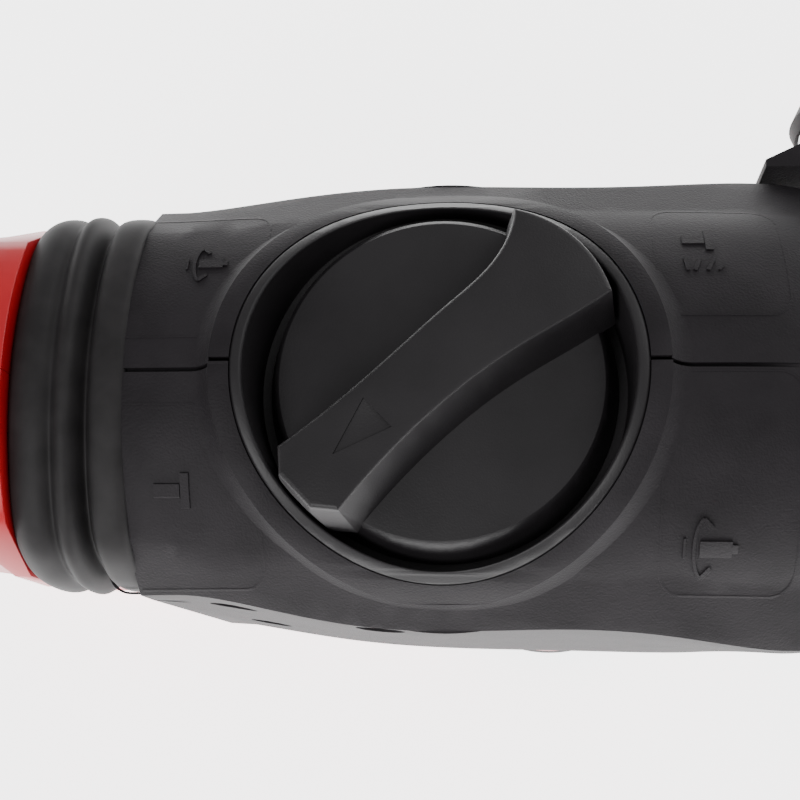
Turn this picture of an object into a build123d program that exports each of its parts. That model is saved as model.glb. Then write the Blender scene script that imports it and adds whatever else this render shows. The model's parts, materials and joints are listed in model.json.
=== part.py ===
from build123d import *
from math import atan, cos, pi, radians, sin
import os

# Rotary hammer with a vertical motor and a sprung D-handle.
# Frame: origin at the mouth of the tool holder, +X out of the holder, +Z up, Y=0 is the parting plane.

# ---- driving sizes, mm ----
dial_x = -160.0            # axis of the mode dial
motor_x = -138.0           # axis of the motor
base_z = -165.0            # underside of the motor end cap
wall = 3.0                 # casing wall
run = 0.05                 # radial running clearance
gap = 0.3                  # clearance between parts of different bodies
tool_r = 5.0               # tool bore
holder_r = 12.0            # outside of the tool holder
bolt_r = 8.0               # impact bolt
piston_r = 12.5            # piston and striker
tube_r = 15.5              # hammer tube outside
neck_r = 25.0              # clamping neck of the nose
pot_r = 36.0               # motor housing
collar_r = 39.0            # raised collar around the dial
bezel_r = 35.4             # bezel outside
bezel_in = bezel_r - 2.2   # bezel inside
collar_top = 48.0
crown_r = 44.0             # crown of collar and bezel, seen along X
crown_z = collar_top - crown_r
dial_face = 37.0           # height of the dial disc
grip_top = 51.0            # height of the dial grip
dial_turn = radians(270)   # travel of the dial
slider_travel = 9.0
handle_x = -229.0          # front of the handle head
shell_back = -211.0
shell_front = -85.0
neck_front = -54.0
stroke = 20.0
rod_len = 32.0
module = 1.0
pinion_teeth = 9
crank_teeth = 46
layshaft_teeth = 36
bevel_small = 9
bevel_large = 27

pinion_r = module * pinion_teeth / 2
crank_r = module * crank_teeth / 2
layshaft_r = module * layshaft_teeth / 2
crank_x = motor_x - pinion_r - crank_r
layshaft_x = motor_x + pinion_r + layshaft_r
gear_z = -46.0             # underside of the spur gears
gear_h = 8.0
seat_z = -60.0             # where the motor housing meets the clamshells
deck_low = seat_z + 4      # gear case floor
deck_high = -34.0          # gear case upper deck
deck_t = 7.0
bevel_rg = 24.0            # pitch radius of the spindle bevel gear
bevel_rp = bevel_rg * bevel_small / bevel_large
pivot_x = -190.0           # handle pivot
pivot_z = -144.0
pin_r = 4.0
bracket_x = -67.0          # side handle
grip_y = 60.0

os.makedirs("parts", exist_ok=True)


def save(part, label):
    part.label = label
    export_step(part, f"parts/{label}.step")


def side_profile(points):
    """Face in the XZ plane from (x, z) points."""
    with BuildSketch(Plane.XZ) as sketch:
        with BuildLine():
            Polyline(points, close=True)
        make_face()
    return sketch.sketch


def upright_profile(points, x):
    """Face in the XZ plane from (r, z) points about a vertical axis at x."""
    return side_profile([(x + r, z) for r, z in points])


def upright_axis(x):
    return Axis((x, 0, 0), (0, 0, 1))


def gear_points(teeth, pitch_r, rise, depth, phase, fill=0.43):
    """Closed outline of a straight-flanked gear; phase turns a tooth's middle off the +x direction."""
    points = []
    pitch = 2 * pi / teeth
    for tooth in range(teeth):
        middle = phase + tooth * pitch
        root = fill * pitch * 0.80
        tip = fill * pitch * 0.27
        for radius, offset in ((pitch_r - depth, -root), (pitch_r + rise, -tip), (pitch_r + rise, tip),
                               (pitch_r - depth, root)):
            points.append((radius * cos(middle + offset), radius * sin(middle + offset)))
    return points


# ---- black clamshell housing ----
# x from the dial, top, crease y and z, shoulder y and z, foot of the side wall, floor y and z
stations = (
    (shell_back - dial_x, 44.5, 28.5, 35.0, 36.8, 23.5, 15.0, 35.5, seat_z + 2),
    (-23.0, 45.0, 31.5, 32.5, 40.8, 21.9, 14.0, 39.5, seat_z),
    (6.0, 45.0, 33.5, 30.0, 42.5, 20.0, 12.0, 41.0, seat_z),
    (42.0, 44.8, 34.0, 26.8, 43.2, 17.2, 10.3, 41.5, seat_z),
    (58.0, 44.0, 34.0, 25.0, 45.0, 13.0, 5.0, 41.0, seat_z),
    (shell_front - dial_x, 40.0, 31.0, 23.0, 42.0, 12.0, 3.0, 37.0, seat_z + 9),
)
crease_round = 6.0


def housing_loft(inset):
    with BuildPart() as body:
        for x, top, crease_y, crease_z, side_y, side_z, foot_z, floor_y, floor_z in stations:
            crease = (crease_y - 0.5 * inset, crease_z - 0.85 * inset)
            side = (side_y - inset, side_z - 0.4 * inset)
            with BuildSketch(Plane.YZ.offset(dial_x + x)) as section:
                with BuildLine():
                    ThreePointArc((-crease[0], crease[1]), (0, top - inset), crease)
                    Polyline(crease, side, (side_y - inset, foot_z), (floor_y - inset, floor_z + inset),
                             (inset - floor_y, floor_z + inset), (inset - side_y, foot_z), (-side[0], side[1]),
                             (-crease[0], crease[1]))
                make_face()
                upper = section.vertices().filter_by(lambda v: v.Z > foot_z + 1)
                fillet(upper, crease_round - inset)
        loft()
    return body


outer = housing_loft(0)
inner = housing_loft(wall)

# vertical drum under the crown that the collar and the bezel are cut from
with BuildPart() as crown:
    with BuildSketch(Plane.YZ.offset(dial_x - 60)):
        with Locations((0, crown_z)):
            Circle(crown_r)
    extrude(amount=120)

with BuildPart() as collar:
    with BuildSketch(Plane.XY.offset(15)):
        with Locations((dial_x, 0)):
            Circle(collar_r)
    extrude(amount=45)
    add(crown.part, mode=Mode.INTERSECT)

bezel_floor = 24.5
screw_spots = ((-172.0, 16.0), (-201.0, 8.0), (-201.0, -34.0), (-89.0, -31.0))
screw_head_r = 4.0
screw_r = 2.0
boss_r = 5.5
boss_in = 26.0             # bosses reach in to this distance from the parting plane

# cavity, stopped short of the rear and front walls
with BuildPart() as cavity:
    add(inner.part)
    with Locations(((shell_back + shell_front) / 2, 0, 0)):
        Box(shell_front - shell_back - 2 * wall, 120, 140, mode=Mode.INTERSECT)

with BuildPart() as bosses:
    with BuildSketch(Plane.XZ.offset(-60)):
        with Locations(*screw_spots):
            Circle(boss_r)
    extrude(amount=120)
    with Locations(((shell_back + shell_front) / 2, 0, 0)):
        Box(200, 2 * boss_in, 200, mode=Mode.SUBTRACT)
    add(outer.part, mode=Mode.INTERSECT)

with BuildPart() as shell:
    add(outer.part)
    add(collar.part)
    add(cavity.part, mode=Mode.SUBTRACT)
    with Locations((dial_x, 0, bezel_floor + 20)):
        Cylinder(bezel_r + run, 40, mode=Mode.SUBTRACT)
    # flat seat for the motor housing and its opening
    with Locations((motor_x - 10, 0, seat_z - 20)):
        Box(160, 120, 40, mode=Mode.SUBTRACT)
    with Locations((motor_x, 0, seat_z)):
        Cylinder(pot_r - wall - 1, 12, mode=Mode.SUBTRACT)
    add(bosses.part)
    # screw holes from the right, with recesses for the heads
    with BuildSketch(Plane.XZ.offset(-boss_in - 5)):
        with Locations(*screw_spots):
            Circle(screw_r + run)
    extrude(amount=boss_in + 65, mode=Mode.SUBTRACT)
    with BuildSketch(Plane.XZ.offset(boss_in + 3)):
        with Locations(*screw_spots):
            Circle(screw_head_r + 0.6)
    extrude(amount=30, mode=Mode.SUBTRACT)
    # front hole around the nose
    with BuildSketch(Plane.YZ.offset(shell_front - 20)):
        Circle(neck_r + 0.1)
    extrude(amount=30, mode=Mode.SUBTRACT)

for label, side in (("housing_left", Keep.BOTTOM), ("housing_right", Keep.TOP)):
    with BuildPart() as half:
        add(shell.part)
        split(bisect_by=Plane.XZ, keep=side)
    save(half.part, label)

with BuildPart() as housing_screws:
    with BuildSketch(Plane.XZ.offset(-boss_in - 4)):
        with Locations(*screw_spots):
            Circle(screw_r)
    extrude(amount=2 * boss_in + 7)
    with BuildSketch(Plane.XZ.offset(boss_in + 3)):
        with Locations(*screw_spots):
            Circle(screw_head_r)
    extrude(amount=2.6)
    with BuildSketch(Plane.XZ.offset(boss_in + 4.4)):
        with Locations(*screw_spots):
            RegularPolygon(1.9, 6)
    extrude(amount=2, mode=Mode.SUBTRACT)
save(housing_screws.part, "housing_screws")

# ---- dial bezel: a cup whose rim follows the crown ----
stem_r = 8.0
with BuildPart() as dial_bezel:
    with Locations((dial_x, 0, bezel_floor + 15)):
        Cylinder(bezel_r, 30)
    add(crown.part, mode=Mode.INTERSECT)
    with Locations((dial_x, 0, bezel_floor + wall + 15)):
        Cylinder(bezel_in, 30, mode=Mode.SUBTRACT)
    with Locations((dial_x, 0, bezel_floor)):
        Cylinder(stem_r + run, 20, mode=Mode.SUBTRACT)
    wavy_edges = dial_bezel.edges().filter_by(lambda e: e.geom_type != GeomType.CIRCLE)
    rim_edges = wavy_edges.filter_by(lambda e: (e @ 0.3).Z > bezel_floor + 4)
    chamfer(rim_edges, 0.4)
save(dial_bezel.part, "dial_bezel")

# ---- mode dial ----
dial_r = bezel_in - 3.8
skirt_r = bezel_in - 1.7
dial_foot = bezel_floor + wall + gap
cam_top = bezel_floor - 0.2
cam_z = 21.3
groove_depth = 2.0
stem_foot = cam_z + groove_depth + 0.2
pointer_angle = 224.0      # direction that the pointer shows at rest
arrow = ((-13.3, 3.45), (-13.3, -3.45), (-23.4, 0.0))


def grip_outline(grow):
    """Wedge grip, its pointer towards -x and its wide end towards +x, grown all round."""
    left = [(-29.0, 7.4), (-17.0, 6.2), (-4.0, 5.7), (8.0, 5.4), (18.0, 5.4), (24.0, 7.2), (27.5, 9.6)]
    right = [(28.8, -12.0), (20.0, -10.2), (12.0, -8.3), (4.0, -6.9), (-6.0, -6.1), (-17.0, -6.2), (-29.0, -7.4)]
    left = [(x, y + grow) for x, y in left]
    right = [(x, y - grow) for x, y in right]
    with BuildSketch() as sketch:
        with BuildLine():
            Spline(left)
            ThreePointArc(left[-1], (31.0 + grow, -0.8), right[0])
            Spline(right)
            Polyline(right[-1], (-32.0 - grow, -3.8), (-32.0 - grow, 3.8), left[0])
        make_face()
    return sketch.sketch


grip_plane = Plane((dial_x, 0, 0)).rotated((0, 0, pointer_angle - 180))
grip_draft = 2.2
with BuildPart() as grip:
    for z, grow in ((dial_face - 1, grip_draft), (grip_top, 0)):
        with BuildSketch(grip_plane.offset(z)):
            add(grip_outline(grow))
    loft(ruled=True)
    with Locations((dial_x, 0, grip_top)):
        Cylinder(bezel_in - 0.5, 40, mode=Mode.INTERSECT)
    fillet(grip.faces().sort_by(Axis.Z)[-1].edges(), 0.9)

with BuildPart() as mode_dial:
    revolve(upright_profile([(0, stem_foot), (stem_r, stem_foot), (stem_r, dial_foot), (skirt_r, dial_foot),
                             (dial_r, dial_face - 0.8), (dial_r - 0.8, dial_face), (0, dial_face)], dial_x),
            axis=upright_axis(dial_x))
    add(grip.part)
    with BuildSketch(grip_plane.offset(grip_top - 0.5)):
        with BuildLine():
            Polyline(arrow, close=True)
        make_face()
    extrude(amount=2, mode=Mode.SUBTRACT)
save(mode_dial.part, "mode_dial")

# ---- selector cam, shift slider ----
groove_start = 4.5
lead = slider_travel / dial_turn
pin_slider_r = 1.5
steps = 24
spiral = []
for step in range(steps + 1):
    turn = -0.5 + (dial_turn + 0.8) * step / steps
    radius = groove_start + lead * turn
    spiral.append((radius * cos(turn), radius * sin(turn)))
with BuildPart() as selector_cam:
    with Locations((dial_x, 0, (cam_z + cam_top) / 2)):
        Cylinder(17, cam_top - cam_z)
    with Locations((dial_x, 0, stem_foot + 5)):
        Cylinder(stem_r, 10, mode=Mode.SUBTRACT)
    with BuildSketch(Plane((dial_x, 0, cam_z))) as groove:
        with BuildLine():
            Spline(spiral)
        trace(line_width=2 * (pin_slider_r + 0.15))
    extrude(amount=groove_depth, mode=Mode.SUBTRACT)
save(selector_cam.part, "selector_cam")

slider_z = 18.9
slider_t = 2.0
fork_x = -136.0
with BuildPart() as shift_slider:
    with BuildSketch(Plane.XY.offset(slider_z)):
        with Locations(((dial_x + fork_x) / 2 + 1, 0)):
            Rectangle(fork_x - dial_x + 6, 10)
    extrude(amount=slider_t)
    with Locations((dial_x + groove_start, 0, slider_z + 2)):
        Cylinder(pin_slider_r, 3.6)
    with BuildSketch(Plane.YZ.offset(fork_x)):
        Circle(slider_z + slider_t)
        Circle(tube_r + 0.4, mode=Mode.SUBTRACT)
        with Locations((0, -15)):
            Rectangle(60, 34, mode=Mode.SUBTRACT)
    extrude(amount=4)
save(shift_slider.part, "shift_slider")

# ---- gear case: floor, upper deck, side walls and two spindle supports ----
case_y = 31.3 - wall       # stays off the clamshells' inside
case_back = -191.0
case_front = -95.0
floor_front = -104.0       # the floor ends where the clamshells rise towards the nose
case_mid = (case_back + case_front) / 2
case_len = case_front - case_back
floor_mid = (case_back + floor_front) / 2
floor_len = floor_front - case_back
shaft_bearing_r = 11.0
crank_bearing_r = 19.0
lay_bearing_r = 9.5
spindle_bearing_r = neck_r - 4
needle_r = 18.4
front_support = (-101.0, -95.0)
rear_support = (-151.0, -144.0)
with BuildPart() as gear_case:
    with Locations((floor_mid, 0, deck_low + deck_t / 2)):
        Box(floor_len, 2 * case_y, deck_t)
    with Locations((case_mid, 0, deck_high + deck_t / 2)):
        Box(case_len, 2 * case_y, deck_t)
    for side in (-1, 1):
        with Locations((floor_mid, side * (case_y - 1.5), (deck_low + deck_high) / 2)):
            Box(floor_len, 3, deck_high - deck_low)
    with Locations((sum(front_support) / 2, 0, -3)):
        Box(front_support[1] - front_support[0], 54, 56)
    with Locations((sum(rear_support) / 2, 0, -11)):
        Box(rear_support[1] - rear_support[0], 48, 40)
    with BuildSketch(Plane.YZ.offset(case_front)):
        Circle(spindle_bearing_r)
    extrude(amount=-8, mode=Mode.SUBTRACT)
    with BuildSketch(Plane.YZ.offset(rear_support[1] + 1)):
        Circle(needle_r)
        with Locations((0, 20)):
            Rectangle(2 * needle_r - 6, 40)
    extrude(amount=-10, mode=Mode.SUBTRACT)
    for x, radius in ((crank_x, crank_bearing_r), (layshaft_x, lay_bearing_r), (motor_x, pinion_r + 2.2)):
        with Locations((x, 0, deck_high + deck_t / 2)):
            Cylinder(radius, deck_t, mode=Mode.SUBTRACT)
    for x, radius in ((crank_x, shaft_bearing_r), (layshaft_x, lay_bearing_r), (motor_x, pinion_r + 3)):
        with Locations((x, 0, deck_low + deck_t / 2)):
            Cylinder(radius, deck_t, mode=Mode.SUBTRACT)
save(gear_case.part, "gear_case")

crank_shaft_r = 5.0
crank_disc_r = 14.0
lay_shaft_r = 5.0


def ring(inner_r, outer_r, low, high, x):
    return upright_profile([(inner_r, low), (outer_r, low), (outer_r, high), (inner_r, high)], x)


with BuildPart() as crank_bearings:
    revolve(ring(crank_shaft_r + run, shaft_bearing_r, deck_low, deck_low + deck_t, crank_x),
            axis=upright_axis(crank_x))
    revolve(ring(crank_disc_r + run, crank_bearing_r, deck_high, deck_high + deck_t, crank_x),
            axis=upright_axis(crank_x))
save(crank_bearings.part, "crank_bearings")

with BuildPart() as layshaft_bearings:
    for low in (deck_low, deck_high):
        revolve(ring(lay_shaft_r + run, lay_bearing_r, low, low + deck_t, layshaft_x), axis=upright_axis(layshaft_x))
save(layshaft_bearings.part, "layshaft_bearings")

# ---- gears ----
rise = module
depth = 1.25 * module
crank_pin_r = 3.5
crank_disc_top = -17.0
rod_half = 6.0
with BuildPart() as crank_gear:
    with BuildSketch(Plane((crank_x, 0, gear_z))):
        with BuildLine():
            Polyline(gear_points(crank_teeth, crank_r, rise, depth, 0), close=True)
        make_face()
    extrude(amount=gear_h)
    revolve(upright_profile([(0, deck_low), (crank_shaft_r, deck_low), (crank_shaft_r, gear_z + gear_h),
                             (crank_disc_r, gear_z + gear_h), (crank_disc_r, crank_disc_top),
                             (0, crank_disc_top)], crank_x), axis=upright_axis(crank_x))
    # the pin stops short of the connecting rod, where the linkage is opened
    with BuildSketch(Plane.XY.offset(crank_disc_top)):
        with Locations((crank_x - stroke / 2, 0)):
            Circle(crank_pin_r)
    extrude(amount=-rod_half - gap - crank_disc_top)
save(crank_gear.part, "crank_gear")

# layshaft: spur gear below, bevel pinion above; both teeth point along X where they mesh
pinion_small = 0.8         # small end of the bevel teeth, as a share of the large end
cone = atan(bevel_rg / bevel_rp)
bevel_rise = 0.9
bevel_depth = 1.2
with BuildPart() as layshaft:
    with BuildSketch(Plane((layshaft_x, 0, gear_z))):
        with BuildLine():
            Polyline(gear_points(layshaft_teeth, layshaft_r, rise, depth, pi + pi / layshaft_teeth), close=True)
        make_face()
    extrude(amount=gear_h)
    with Locations((layshaft_x, 0, (deck_low - bevel_rg) / 2)):
        Cylinder(lay_shaft_r, -bevel_rg - deck_low)
    for share in (1.0, pinion_small):
        with BuildSketch(Plane((layshaft_x, 0, -share * bevel_rg))):
            with BuildLine():
                Polyline(gear_points(bevel_small, share * bevel_rp, share * bevel_rise / sin(cone),
                                     share * bevel_depth / sin(cone), 0, 0.42), close=True)
            make_face()
    loft(ruled=True)
save(layshaft.part, "layshaft")

# ---- spindle with its hammer tube, and what turns with it ----
tube_back = crank_x + stroke / 2 + crank_pin_r + 0.5    # clear of the crank pin
tube_front = -84.0
bolt_front = -58.0
step_x = -55.0
with BuildPart() as spindle:
    revolve(side_profile([(tube_back, piston_r + run), (tube_back, tube_r), (step_x, tube_r), (step_x, holder_r),
                          (-2, holder_r), (0, holder_r - 2), (0, tool_r), (bolt_front, tool_r),
                          (bolt_front, bolt_r + run), (tube_front, bolt_r + run), (tube_front, piston_r + run)]),
            axis=Axis.X)
    # windows for the two locking balls
    with Locations((-32, 0, 0)):
        Cylinder(3.6, 40, mode=Mode.SUBTRACT)
    # idle ports of the air cushion
    with Locations(Location((-112, 0, 0), (90, 0, 0))):
        Cylinder(1.2, 60, mode=Mode.SUBTRACT)
save(spindle.part, "spindle")

ball_r = 3.5
with BuildPart() as locking_balls:
    with Locations((-32, 0, tool_r + ball_r + 0.1), (-32, 0, -tool_r - ball_r - 0.1)):
        Sphere(ball_r)
save(locking_balls.part, "locking_balls")

large_share = 1.2          # the ring's tooth gaps run on past the pinion's large end
gear_face = layshaft_x + large_share * bevel_rp
gear_back = gear_face + 4.0
with BuildPart() as bevel_gear:
    for share in (large_share, pinion_small):
        with BuildSketch(Plane((layshaft_x + share * bevel_rp, 0, 0), x_dir=(0, 0, -1), z_dir=(1, 0, 0))):
            with BuildLine():
                Polyline(gear_points(bevel_large, share * bevel_rg, share * bevel_rise / cos(cone),
                                     share * bevel_depth / cos(cone), pi / bevel_large, 0.40), close=True)
            make_face()
    loft(ruled=True)
    with BuildSketch(Plane.YZ.offset(gear_face)):
        Circle(bevel_rg + 3)
    extrude(amount=gear_back - gear_face)
    with BuildSketch(Plane.YZ.offset(gear_back)):
        Circle(bevel_rg + 3)
    extrude(amount=-20, mode=Mode.INTERSECT)
    with BuildSketch(Plane.YZ.offset(gear_back)):
        Circle(tube_r)
    extrude(amount=-30, mode=Mode.SUBTRACT)
save(bevel_gear.part, "bevel_gear")

with BuildPart() as spindle_bearings:
    revolve(side_profile([(front_support[0], tube_r + run), (front_support[0], spindle_bearing_r),
                          (front_support[1], spindle_bearing_r), (front_support[1], tube_r + run)]), axis=Axis.X)
    revolve(side_profile([(-68, tube_r + run), (-68, spindle_bearing_r), (-59, spindle_bearing_r),
                          (-59, tube_r + run)]), axis=Axis.X)
save(spindle_bearings.part, "spindle_bearings")

with BuildPart() as needle_bearing:
    revolve(side_profile([(rear_support[0], tube_r + run), (rear_support[0], needle_r),
                          (rear_support[1], needle_r), (rear_support[1], tube_r + run)]), axis=Axis.X)
save(needle_bearing.part, "needle_bearing")

# ---- nose ----
with BuildPart() as front_housing:
    revolve(side_profile([(-93, spindle_bearing_r), (-93, neck_r + 3), (shell_front - wall - 0.2, neck_r + 3),
                          (shell_front - wall - 0.2, neck_r), (neck_front - 1, neck_r), (neck_front, neck_r - 1),
                          (neck_front, 16.5), (-57, 16.5), (-57, 19), (-59, 19), (-59, spindle_bearing_r)]),
            axis=Axis.X)
save(front_housing.part, "front_housing")

with BuildPart() as shaft_seal:
    revolve(side_profile([(-59, tube_r + 0.1), (-59, 19), (-57, 19), (-57, tube_r + 0.1)]), axis=Axis.X)
save(shaft_seal.part, "shaft_seal")

# ---- piston train ----
pin_x = crank_x - stroke / 2 + rod_len
piston_front = pin_x + 12
piston_pin_r = 3.0
with BuildPart() as piston:
    revolve(side_profile([(pin_x - 8, 0), (pin_x - 8, piston_r), (piston_front - 7, piston_r),
                          (piston_front - 7, piston_r - 1.5), (piston_front - 4, piston_r - 1.5),
                          (piston_front - 4, piston_r), (piston_front, piston_r), (piston_front, 0)]), axis=Axis.X)
    # slot for the rod's small end, and the pin bore
    with Locations((pin_x - 3, 0, 0)):
        Box(20, 18, 13, mode=Mode.SUBTRACT)
    with Locations((pin_x, 0, 0)):
        Cylinder(piston_pin_r, 40, mode=Mode.SUBTRACT)
save(piston.part, "piston")

with BuildPart() as piston_ring:
    revolve(side_profile([(piston_front - 7, piston_r - 1.5), (piston_front - 7, piston_r),
                          (piston_front - 4, piston_r), (piston_front - 4, piston_r - 1.5)]), axis=Axis.X)
save(piston_ring.part, "piston_ring")

with BuildPart() as piston_pin:
    with Locations((pin_x, 0, 0)):
        Cylinder(piston_pin_r, 2 * (piston_r - 1.1))
save(piston_pin.part, "piston_pin")

with BuildPart() as connecting_rod:
    with BuildSketch(Plane.XY.offset(-rod_half)):
        with Locations((pin_x, 0)):
            Circle(6)
        with Locations((pin_x - rod_len, 0)):
            Circle(7.5)
        with Locations((pin_x - rod_len / 2, 0)):
            Rectangle(rod_len, 7)
    extrude(amount=2 * rod_half)
    with Locations((pin_x, 0, 0)):
        Cylinder(piston_pin_r, 20, mode=Mode.SUBTRACT)
    with Locations((pin_x - rod_len, 0, 0)):
        Cylinder(crank_pin_r + run, 20, mode=Mode.SUBTRACT)
save(connecting_rod.part, "connecting_rod")

striker_front = tube_front - 5.0
with BuildPart() as striker:
    revolve(side_profile([(striker_front - 19, 0), (striker_front - 19, piston_r), (striker_front - 14, piston_r),
                          (striker_front - 14, piston_r - 1.5), (striker_front - 11, piston_r - 1.5),
                          (striker_front - 11, piston_r), (striker_front - 4, piston_r), (striker_front, 7),
                          (striker_front, 0)]), axis=Axis.X)
save(striker.part, "striker")

with BuildPart() as striker_ring:
    revolve(side_profile([(striker_front - 14, piston_r - 1.5), (striker_front - 14, piston_r),
                          (striker_front - 11, piston_r), (striker_front - 11, piston_r - 1.5)]), axis=Axis.X)
save(striker_ring.part, "striker_ring")

with BuildPart() as impact_bolt:
    revolve(side_profile([(tube_front, 0), (tube_front, bolt_r - 2), (tube_front + 2, bolt_r),
                          (bolt_front - 5, bolt_r), (bolt_front - 3, bolt_r - 2), (bolt_front - 3, 0)]), axis=Axis.X)
save(impact_bolt.part, "impact_bolt")

# ---- chuck ----
sleeve_back = -46.5
sleeve_front = -17.0
spring_r = 13.4
spring_end = 4.9           # room that the spring leaves in the sleeve
with BuildPart() as chuck_sleeve:
    revolve(side_profile([(sleeve_back, 14.8), (sleeve_back, 18), (sleeve_back + 3, 20.5), (sleeve_back + 9, 20.5),
                          (sleeve_back + 14, 19), (sleeve_front - 4, 20), (sleeve_front, 18.5),
                          (sleeve_front, holder_r + run), (sleeve_front - 5, holder_r + run),
                          (sleeve_front - 9, 14.8)]), axis=Axis.X)
save(chuck_sleeve.part, "chuck_sleeve")

with BuildPart() as chuck_spring:
    with BuildLine() as coil:
        Helix(2.6, sleeve_front - 9 - sleeve_back - spring_end, spring_r, center=(sleeve_back + 2, 0, 0), direction=(1, 0, 0))
    with BuildSketch(Plane(origin=coil.line @ 0, z_dir=coil.line % 0)):
        Circle(0.7)
    sweep(path=coil.line)
save(chuck_spring.part, "chuck_spring")

with BuildPart() as dust_cap:
    revolve(side_profile([(-16, holder_r), (-16, 16.5), (-12, 17.5), (-4, 16), (2, 12.5), (5, 9), (5, tool_r + 0.8),
                          (2, tool_r + 0.8), (0.4, holder_r - 2), (-2, holder_r)]), axis=Axis.X)
    fillet(dust_cap.edges().filter_by(GeomType.CIRCLE).filter_by(lambda e: e.radius > 15), 1.0)
save(dust_cap.part, "dust_cap")

# ---- motor ----
pot_top = seat_z
pot_foot = base_z + 12
shaft_r = 4.0
plate_t = 8.0
with BuildPart() as cooling_slots:
    for angle in (60, 90, 120, -60, -90, -120):
        with BuildSketch(Plane((motor_x, 0, pot_top - 22)).rotated((0, 0, angle))):
            with Locations((pot_r, 0)):
                Rectangle(16, 4)
        extrude(amount=14)

with BuildPart() as motor_housing:
    revolve(ring(pot_r - wall, pot_r, pot_foot, pot_top, motor_x), axis=upright_axis(motor_x))
    # lugs for the handle's pivot pin
    for side in (-1, 1):
        with BuildSketch(Plane.XZ.offset(side * 24.5 + 2.5)):
            with BuildLine():
                Polyline((pivot_x - 8, pivot_z - 8), (pivot_x + 34, pivot_z - 8), (pivot_x + 34, pivot_z + 22),
                         (pivot_x - 8, pivot_z + 8), close=True)
            make_face()
        extrude(amount=-5)
    with Locations((motor_x, 0, (pot_foot + pot_top) / 2)):
        Cylinder(pot_r - wall, pot_top - pot_foot, mode=Mode.SUBTRACT)
    with BuildSketch(Plane.XZ.offset(-40)):
        with Locations((pivot_x, pivot_z)):
            Circle(pin_r)
    extrude(amount=80, mode=Mode.SUBTRACT)
    add(cooling_slots.part, mode=Mode.SUBTRACT)
save(motor_housing.part, "motor_housing")

end_screw_r = 2.0
end_circle_r = pot_r - 3.6
with BuildPart() as motor_end_cap:
    revolve(upright_profile([(0, base_z), (pot_r - 2, base_z), (pot_r, base_z + 2), (pot_r, pot_foot),
                             (0, pot_foot)], motor_x), axis=upright_axis(motor_x))
    with Locations((motor_x, 0, pot_foot)):
        Cylinder(pot_r - 7, 14, mode=Mode.SUBTRACT)
    with Locations((motor_x, 0, base_z + 7.5)):
        Cylinder(13, 5)
        Cylinder(11, 5, mode=Mode.SUBTRACT)
    with Locations((motor_x, 0, pot_foot - 5)):
        with PolarLocations(pot_r, 14):
            Box(20, 2.4, 4, mode=Mode.SUBTRACT)
    with Locations((motor_x, 0, base_z)):
        with PolarLocations(end_circle_r, 3, start_angle=90):
            Cylinder(end_screw_r, 60, mode=Mode.SUBTRACT)
            Cylinder(3.2, 6, mode=Mode.SUBTRACT)
save(motor_end_cap.part, "motor_end_cap")

with BuildPart() as end_cap_screws:
    with Locations((motor_x, 0, base_z + 1.2)):
        with PolarLocations(end_circle_r, 3, start_angle=90):
            Cylinder(3.0, 1.8, align=(Align.CENTER, Align.CENTER, Align.MIN))
            Cylinder(end_screw_r - run, 10, align=(Align.CENTER, Align.CENTER, Align.MIN))
save(end_cap_screws.part, "end_cap_screws")

plate_z = pot_top - plate_t
motor_bearing_r = 11.0
lower_bearing_z = base_z + 5
with BuildPart() as bearing_plate:
    with Locations((motor_x, 0, plate_z + plate_t / 2)):
        Cylinder(pot_r - wall - 0.1, plate_t)
        Cylinder(motor_bearing_r, plate_t, mode=Mode.SUBTRACT)
    with Locations((motor_x, 0, plate_z + plate_t / 2)):
        with PolarLocations(23, 6):
            Cylinder(5, plate_t, mode=Mode.SUBTRACT)
save(bearing_plate.part, "bearing_plate")

with BuildPart() as motor_bearings:
    revolve(ring(shaft_r + run, motor_bearing_r, plate_z, plate_z + 7, motor_x), axis=upright_axis(motor_x))
    revolve(ring(shaft_r + run, motor_bearing_r, lower_bearing_z, lower_bearing_z + 7, motor_x),
            axis=upright_axis(motor_x))
save(motor_bearings.part, "motor_bearings")

with BuildPart() as armature_shaft:
    revolve(upright_profile([(0, lower_bearing_z + 0.5), (shaft_r, lower_bearing_z + 0.5), (shaft_r, deck_low + 3),
                             (2.6, deck_low + 5), (2.6, gear_z), (0, gear_z)], motor_x), axis=upright_axis(motor_x))
    with BuildSketch(Plane((motor_x, 0, gear_z - 1))):
        with BuildLine():
            Polyline(gear_points(pinion_teeth, pinion_r, rise, depth, 0), close=True)
        make_face()
    extrude(amount=gear_h + 2)
save(armature_shaft.part, "armature_shaft")

core_r = 20.5
core_low = -127.0
core_high = -88.0
coil_y = pot_r - 9
slots = 12
with BuildPart() as armature_core:
    with BuildSketch(Plane((motor_x, 0, core_low))):
        Circle(core_r)
        Circle(shaft_r, mode=Mode.SUBTRACT)
        with PolarLocations(core_r, slots):
            Rectangle(10, 2.4, mode=Mode.SUBTRACT)
    extrude(amount=core_high - core_low)
save(armature_core.part, "armature_core")

with BuildPart() as armature_windings:
    for low, high in ((core_low - 7, core_low), (core_high, core_high + 7)):
        revolve(ring(shaft_r + 2, core_r - 3, low, high, motor_x), axis=upright_axis(motor_x))
save(armature_windings.part, "armature_windings")

commutator_r = 12.0
commutator_low = -150.0
with BuildPart() as commutator:
    with BuildSketch(Plane((motor_x, 0, commutator_low))):
        Circle(commutator_r)
        Circle(shaft_r, mode=Mode.SUBTRACT)
        with PolarLocations(commutator_r, 24):
            Rectangle(2.4, 0.6, mode=Mode.SUBTRACT)
    extrude(amount=15)
save(commutator.part, "commutator")

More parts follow.
